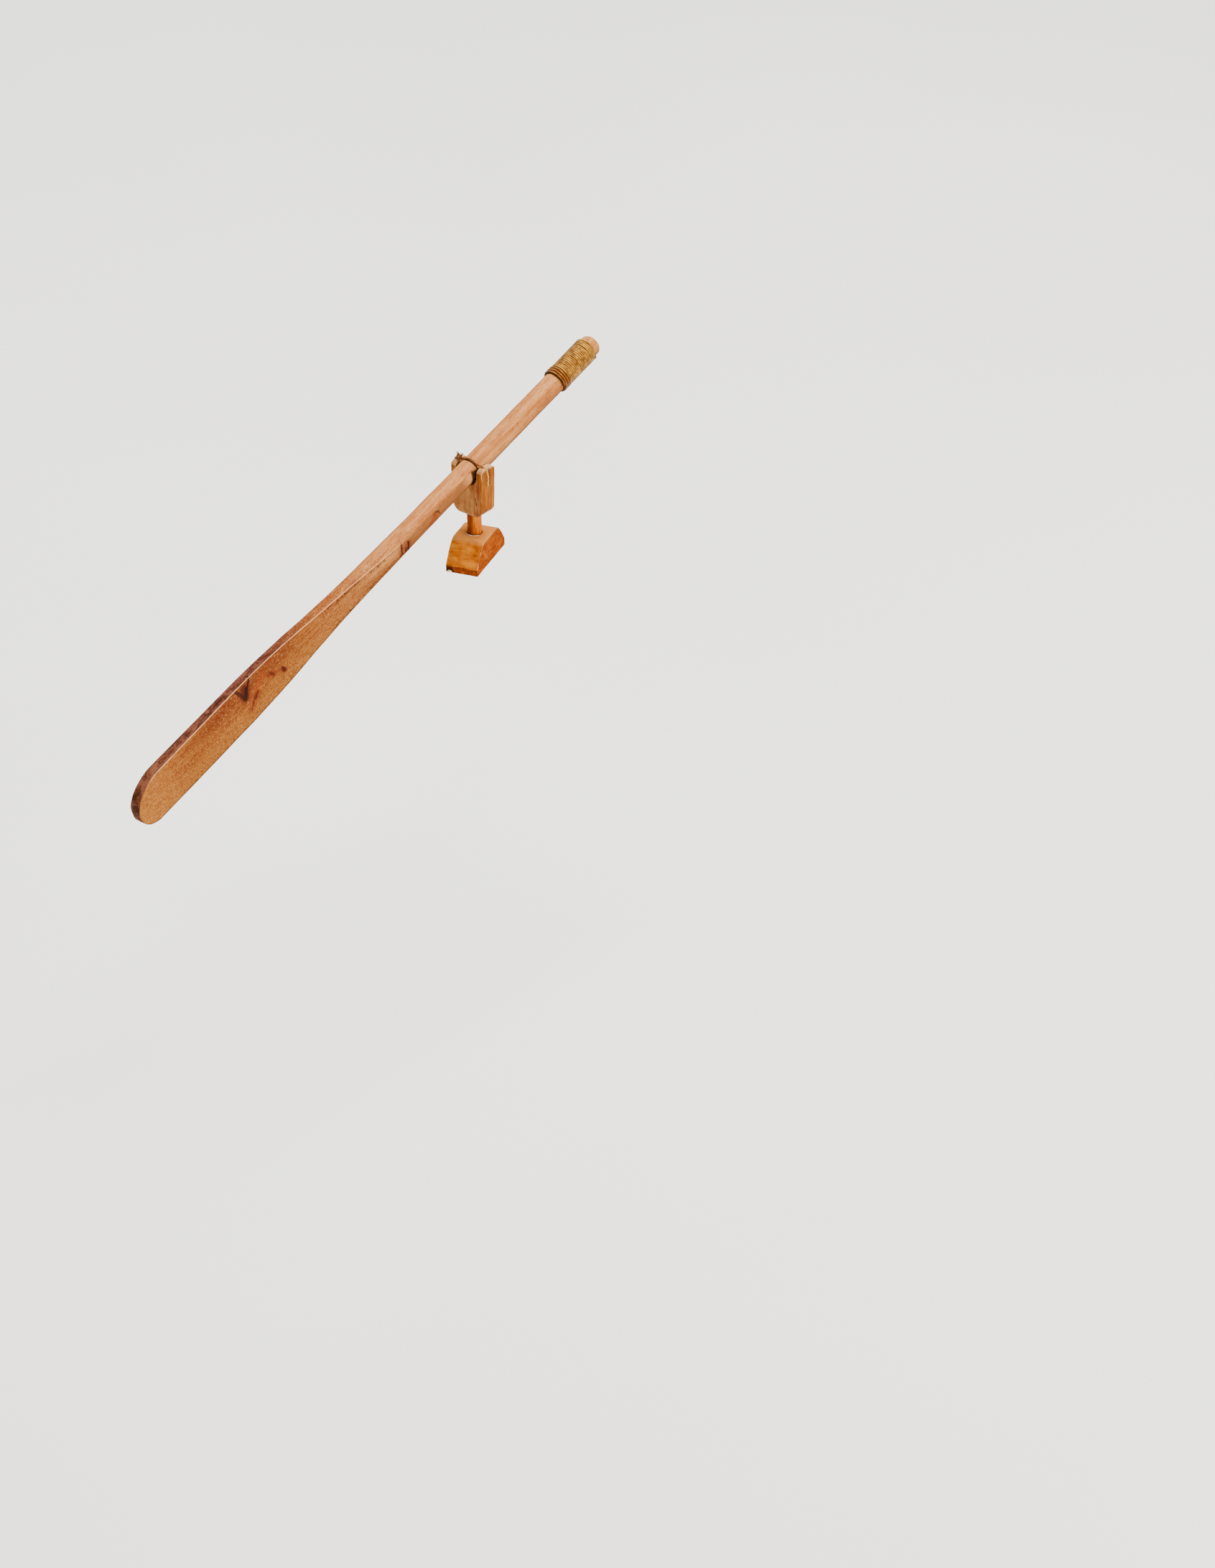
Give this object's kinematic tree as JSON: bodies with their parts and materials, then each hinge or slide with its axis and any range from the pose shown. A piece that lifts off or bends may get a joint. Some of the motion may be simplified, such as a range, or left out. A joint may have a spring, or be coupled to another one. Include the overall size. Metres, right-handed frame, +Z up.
{
  "type": "rowing oar",
  "caption": "Wooden scale-model rowing oar with a flat-sided blade and a whipped grip, lashed by a cord in a turning wooden rowlock on a gunwale chock.",
  "frame": {"origin": "middle of the chock's flat foot, where it is glued to the gunwale, under the pin's axis", "axes": "+Z up along the pin, +Y along the gunwale towards the grip, +X inboard"},
  "size_m": [0.0628, 0.183, 0.0697],
  "materials": {
    "oar_wood": "satin",
    "thread": "satin",
    "cord": "matte",
    "crutch_wood": "satin",
    "pin_wood": "satin",
    "chock_wood": "gloss"
  },
  "bodies": {
    "chock": {"chock": "chock_wood"},
    "rowlock": {"crutch": "crutch_wood", "pin": "pin_wood"},
    "lashing": {"lashing": "cord"},
    "oar": {"oar": "oar_wood", "grip_whipping": "thread"}
  },
  "joints": [
    {"name": "swivel", "type": "hinge", "parent": "chock", "child": "rowlock", "pos_m": [0, 0, 0.015], "axis": [0, 0, 1], "range_deg": [-162, 18]},
    {"name": "pitch", "type": "hinge", "parent": "rowlock", "child": "lashing", "pos_m": [0, 0, 0.0269], "axis": [-0.9516, 0.3074, 0], "range_deg": [0, 36]},
    {"name": "feather", "type": "hinge", "parent": "lashing", "child": "oar", "pos_m": [-0.00018, -0.00056, 0.02871], "axis": [0.2923, 0.905, 0.309], "range_deg": [-90, 90]}
  ]
}
